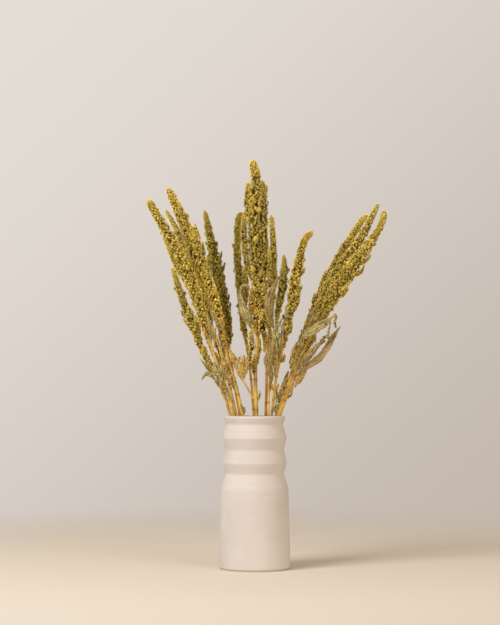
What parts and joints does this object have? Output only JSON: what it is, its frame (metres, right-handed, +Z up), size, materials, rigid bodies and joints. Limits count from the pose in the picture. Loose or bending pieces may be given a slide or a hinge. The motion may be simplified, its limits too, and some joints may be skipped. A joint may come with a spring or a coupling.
{
  "type": "vase of dried amaranthus",
  "caption": "Turned pale ceramic vase with ridges under its lip, holding leaning cut stalks of dried amaranth with olive-gold heads of packed florets and curled dry leaves.",
  "frame": {"origin": "centre of the vase's flat underside, which stands on the surface", "axes": "+Z up along the vase's axis, -Y towards the front of the arrangement, +X to its right"},
  "size_m": [0.3763, 0.2087, 0.6505],
  "materials": {
    "vase": "matte",
    "stem": "satin",
    "russet_stem": "satin",
    "golden_head": "matte",
    "olive_head": "matte",
    "sage_leaf": "matte",
    "tan_leaf": "matte"
  },
  "bodies": {
    "root": {"vase": "vase", "stem_01": "stem", "stem_02": "stem", "stem_03": "stem", "stem_04": "stem", "stem_05": "stem", "stem_06": "stem", "stem_07": "stem", "stem_08": "russet_stem", "stem_09": "stem", "stem_10": "stem", "stem_11": "stem", "stem_12": "stem", "stem_13": "stem", "twig_01": "stem", "head_01": "golden_head", "head_02": "golden_head", "head_03": "golden_head", "head_04": "olive_head", "head_05": "golden_head", "head_06": "olive_head", "head_07": "golden_head", "head_08": "golden_head", "head_09": "olive_head", "head_10": "golden_head", "head_11": "golden_head", "head_12": "golden_head", "head_13": "golden_head", "tuft_01": "golden_head", "tuft_02": "golden_head", "tuft_03": "golden_head", "tuft_04": "golden_head", "tuft_05": "golden_head", "tuft_06": "golden_head", "tuft_07": "golden_head", "tuft_08": "golden_head", "tuft_09": "golden_head", "tuft_10": "golden_head", "tuft_11": "golden_head", "tuft_12": "golden_head", "tuft_13": "golden_head", "tuft_14": "golden_head", "leaf_broad_right": "sage_leaf", "leaf_crumpled_left": "sage_leaf", "leaf_crumpled_right": "sage_leaf", "leaf_curled_middle": "sage_leaf", "leaf_hooked_left": "sage_leaf", "leaf_long_lower": "sage_leaf", "leaf_long_upper": "sage_leaf", "leaf_strand_left": "sage_leaf", "leaf_strap_left": "sage_leaf", "leaf_thin_left": "sage_leaf", "leaf_crumpled_centre": "tan_leaf", "leaf_cupped_right": "tan_leaf", "leaf_curled_right": "tan_leaf", "leaf_rolled_centre_left": "tan_leaf", "leaf_slim_right": "tan_leaf"}
  },
  "joints": []
}
